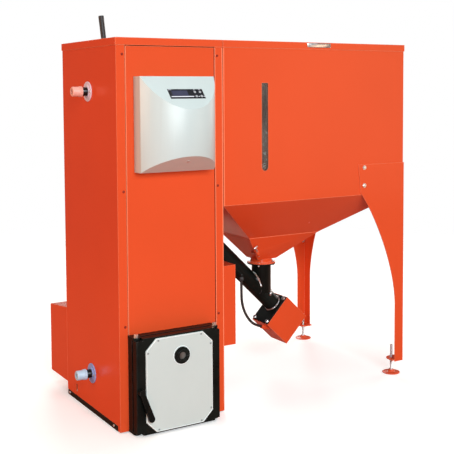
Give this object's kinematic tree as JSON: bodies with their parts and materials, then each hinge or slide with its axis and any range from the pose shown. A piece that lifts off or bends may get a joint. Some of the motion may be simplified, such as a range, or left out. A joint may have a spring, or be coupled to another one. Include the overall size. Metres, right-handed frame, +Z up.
{
  "type": "pellet boiler",
  "caption": "Sheet-clad pellet boiler with a fire door, control box and cleaning lever, beside a legged hopper that feeds it through a slanted auger tube.",
  "frame": {"origin": "centre of the boiler base's underside, on the floor", "axes": "+X to the right, towards the hopper; +Y to the back, away from the fire door; +Z up"},
  "size_m": [1.484, 0.992, 1.6053],
  "materials": {
    "orange_coat": "glossy orange-red powder coat",
    "cover_coat": "glossy orange-red powder coat",
    "black_coat": "semi-gloss black paint",
    "raw_steel": "dark rolled steel",
    "zinc": "bright zinc plating",
    "white_coat": "satin off-white powder coat",
    "control_white": "satin off-white coat",
    "wool": "mineral wool",
    "flow_plastic": "peach moulded plastic",
    "return_plastic": "light blue moulded plastic",
    "rosette_lilac": "pale lilac moulded plastic",
    "rosette_blue": "blue moulded plastic",
    "bezel_black": "gloss black plastic",
    "lcd": "display glass",
    "button_grey": "matt grey plastic",
    "clear_window": "clear sheet",
    "sight_pane": "heat-proof glass",
    "lining": "fireproof fibre board",
    "seal_cord": "woven seal cord",
    "handle_black": "black plastic sleeve",
    "chrome": "polished chrome",
    "cable_black": "black cable sheath",
    "motor_paint": "dark grey casting",
    "wheel_alu": "sheet aluminium"
  },
  "bodies": {
    "boiler": {"base_frame": "black_coat", "boiler_shell": "raw_steel", "smoke_tubes": "raw_steel", "insulation": "wool", "left_panel": "orange_coat", "right_panel": "orange_coat", "front_panel": "orange_coat", "rear_panel": "orange_coat", "casing_screws": "zinc", "pipe_stubs": "raw_steel", "flow_cap": "flow_plastic", "return_cap": "return_plastic", "flow_rosette": "rosette_lilac", "return_rosette": "rosette_blue", "rear_box": "orange_coat", "flue_spigot": "raw_steel", "burner_cover": "orange_coat", "burner_tube": "raw_steel", "fan_housing": "motor_paint", "drop_chute": "raw_steel", "ash_drawer": "raw_steel", "control_box": "control_white", "display_bezel": "bezel_black", "lcd_glass": "lcd", "door_frame": "black_coat", "hinge_pins": "zinc", "hopper_body": "orange_coat", "level_window": "clear_window", "hopper_funnel": "orange_coat", "leg_front": "orange_coat", "leg_rear": "orange_coat", "hopper_bolts": "zinc", "auger_tube": "black_coat", "down_tube": "black_coat", "gearmotor": "motor_paint", "motor_cover": "orange_coat", "motor_cable": "cable_black"},
    "top_cover": {"top_cover": "cover_coat"},
    "door": {"door_leaf": "black_coat", "door_plate": "white_coat", "door_screws": "zinc", "door_lining": "lining", "door_gasket": "seal_cord", "sight_port": "black_coat", "sight_glass": "sight_pane"},
    "door_handle": {"door_handle": "black_coat"},
    "hopper_lid": {"hopper_lid": "cover_coat", "lid_handle": "chrome"},
    "cleaning": {"cleaning_rod": "raw_steel", "cleaning_grip": "handle_black", "scrapers": "raw_steel"},
    "auger_screw": {"auger_screw": "raw_steel"},
    "fan_wheel": {"fan_wheel": "wheel_alu"},
    "foot_front": {"foot_front": "orange_coat"},
    "foot_rear": {"foot_rear": "orange_coat"},
    "thumb_screw": {"thumb_screw": "zinc"},
    "button_1": {"button_1": "button_grey"},
    "button_2": {"button_2": "button_grey"},
    "button_3": {"button_3": "button_grey"},
    "button_4": {"button_4": "button_grey"}
  },
  "joints": [
    {"name": "cover_lift", "type": "slide", "parent": "boiler", "child": "top_cover", "axis": [0, 0, 1], "range_m": [0, 0.15]},
    {"name": "door_swing", "type": "hinge", "parent": "boiler", "child": "door", "pos_m": [0.157, -0.317, 0.19], "axis": [0, 0, 1], "range_deg": [0, 95]},
    {"name": "handle_turn", "type": "hinge", "parent": "door", "child": "door_handle", "pos_m": [-0.18, -0.34, 0.174], "axis": [0, -1, 0], "range_deg": [0, 70]},
    {"name": "lid_swing", "type": "hinge", "parent": "boiler", "child": "hopper_lid", "pos_m": [0.705, 0.492, 1.4759], "axis": [-1, 0, 0], "range_deg": [0, 85]},
    {"name": "rod_pull", "type": "slide", "parent": "boiler", "child": "cleaning", "axis": [0, 0, 1], "range_m": [0, 0.08]},
    {"name": "auger_turn", "type": "hinge", "parent": "boiler", "child": "auger_screw", "pos_m": [0.658, 0.106, 0.3686], "axis": [0.7181, 0, -0.6959], "continuous": true},
    {"name": "fan_spin", "type": "hinge", "parent": "boiler", "child": "fan_wheel", "pos_m": [0.29, -0.042, 0.3935], "axis": [1, 0, 0], "continuous": true},
    {"name": "foot_front_turn", "type": "hinge", "parent": "boiler", "child": "foot_front", "pos_m": [1.146, -0.238, 0.05], "axis": [0, 0, 1], "continuous": true},
    {"name": "foot_rear_turn", "type": "hinge", "parent": "boiler", "child": "foot_rear", "pos_m": [1.146, 0.45, 0.05], "axis": [0, 0, 1], "continuous": true},
    {"name": "thumb_turn", "type": "hinge", "parent": "boiler", "child": "thumb_screw", "pos_m": [0.566, -0.0025, 0.5795], "axis": [-0.5035, -0.3525, 0.7888], "continuous": true},
    {"name": "button_1_press", "type": "slide", "parent": "boiler", "child": "button_1", "axis": [0, 0.7241, -0.6897], "range_m": [0, 0.0012], "stiffness_N_per_m": 300},
    {"name": "button_2_press", "type": "slide", "parent": "boiler", "child": "button_2", "axis": [0, 0.7241, -0.6897], "range_m": [0, 0.0012], "stiffness_N_per_m": 300},
    {"name": "button_3_press", "type": "slide", "parent": "boiler", "child": "button_3", "axis": [0, 0.7241, -0.6897], "range_m": [0, 0.0012], "stiffness_N_per_m": 300},
    {"name": "button_4_press", "type": "slide", "parent": "boiler", "child": "button_4", "axis": [0, 0.7241, -0.6897], "range_m": [0, 0.0012], "stiffness_N_per_m": 300}
  ]
}
